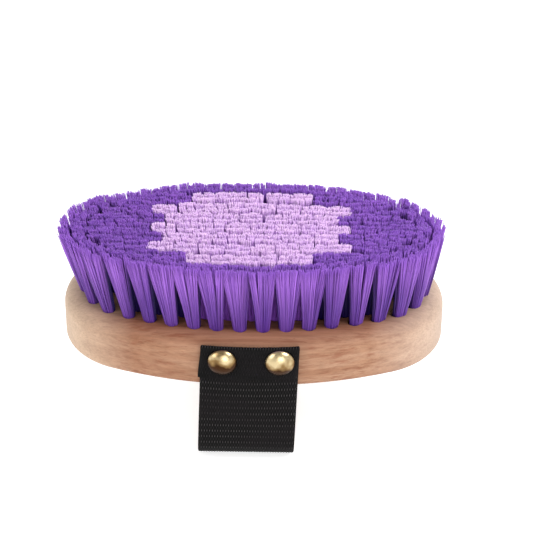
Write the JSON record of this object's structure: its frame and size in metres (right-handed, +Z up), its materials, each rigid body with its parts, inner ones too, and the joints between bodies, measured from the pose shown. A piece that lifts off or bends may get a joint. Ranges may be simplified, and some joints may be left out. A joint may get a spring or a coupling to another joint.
{
  "type": "horse body brush",
  "caption": "Oval wooden horse body brush with long flat-trimmed violet and lilac tufts and a webbing hand strap nailed to its long sides.",
  "frame": {"origin": "on the floor under the middle of the strap's palm band, below the middle of the block", "axes": "+X along the block's length, +Y to the rear long side, +Z up from the palm band through the block to the bristle tips"},
  "size_m": [0.1588, 0.0952, 0.0889],
  "materials": {
    "beech": "smooth bare beech, lightly oiled",
    "violet_bristle": "satin synthetic filament",
    "lilac_bristle": "satin synthetic filament",
    "anchor_steel": "flat drawn wire",
    "webbing": "woven polypropylene webbing",
    "brass": "polished domed head"
  },
  "bodies": {
    "brush": {"block": "beech", "anchor_wires_ring": "anchor_steel", "anchor_wires_row_1": "anchor_steel", "anchor_wires_row_2": "anchor_steel", "anchor_wires_row_3": "anchor_steel", "anchor_wires_row_4": "anchor_steel", "anchor_wires_row_5": "anchor_steel", "anchor_wires_row_6": "anchor_steel", "anchor_wires_row_7": "anchor_steel", "tufts_ring_violet": "violet_bristle", "tufts_row_1_violet": "violet_bristle", "tufts_row_1_lilac": "lilac_bristle", "tufts_row_2_violet": "violet_bristle", "tufts_row_2_lilac": "lilac_bristle", "tufts_row_3_violet": "violet_bristle", "tufts_row_3_lilac": "lilac_bristle", "tufts_row_4_violet": "violet_bristle", "tufts_row_4_lilac": "lilac_bristle", "tufts_row_5_violet": "violet_bristle", "tufts_row_5_lilac": "lilac_bristle", "tufts_row_6_violet": "violet_bristle", "tufts_row_6_lilac": "lilac_bristle", "tufts_row_7_violet": "violet_bristle", "tufts_row_7_lilac": "lilac_bristle", "strap_front_hem": "webbing", "strap_rear_hem": "webbing", "nail_front_left": "brass", "nail_front_right": "brass", "nail_rear_left": "brass", "nail_rear_right": "brass"},
    "front_leg": {"strap_front_leg": "webbing"},
    "palm_band": {"strap_palm_band": "webbing"},
    "rear_leg": {"strap_rear_leg": "webbing"}
  },
  "joints": [
    {"name": "strap_sway", "type": "hinge", "parent": "brush", "child": "front_leg", "pos_m": [0, -0.0424, 0.0365], "axis": [1, 0, 0], "range_deg": [-60, 60], "stiffness_Nm_per_rad": 0.2},
    {"name": "front_bend", "type": "hinge", "parent": "front_leg", "child": "palm_band", "pos_m": [0, -0.0424, 0.0108], "axis": [1, 0, 0], "range_deg": [-65, 65]},
    {"name": "rear_bend", "type": "hinge", "parent": "palm_band", "child": "rear_leg", "pos_m": [0, 0.0424, 0.0108], "axis": [1, 0, 0], "range_deg": [-65, 65]}
  ],
  "couplings": [
    {"joint": "front_bend", "follows": "strap_sway", "ratio": -1},
    {"joint": "rear_bend", "follows": "strap_sway", "ratio": 1}
  ]
}
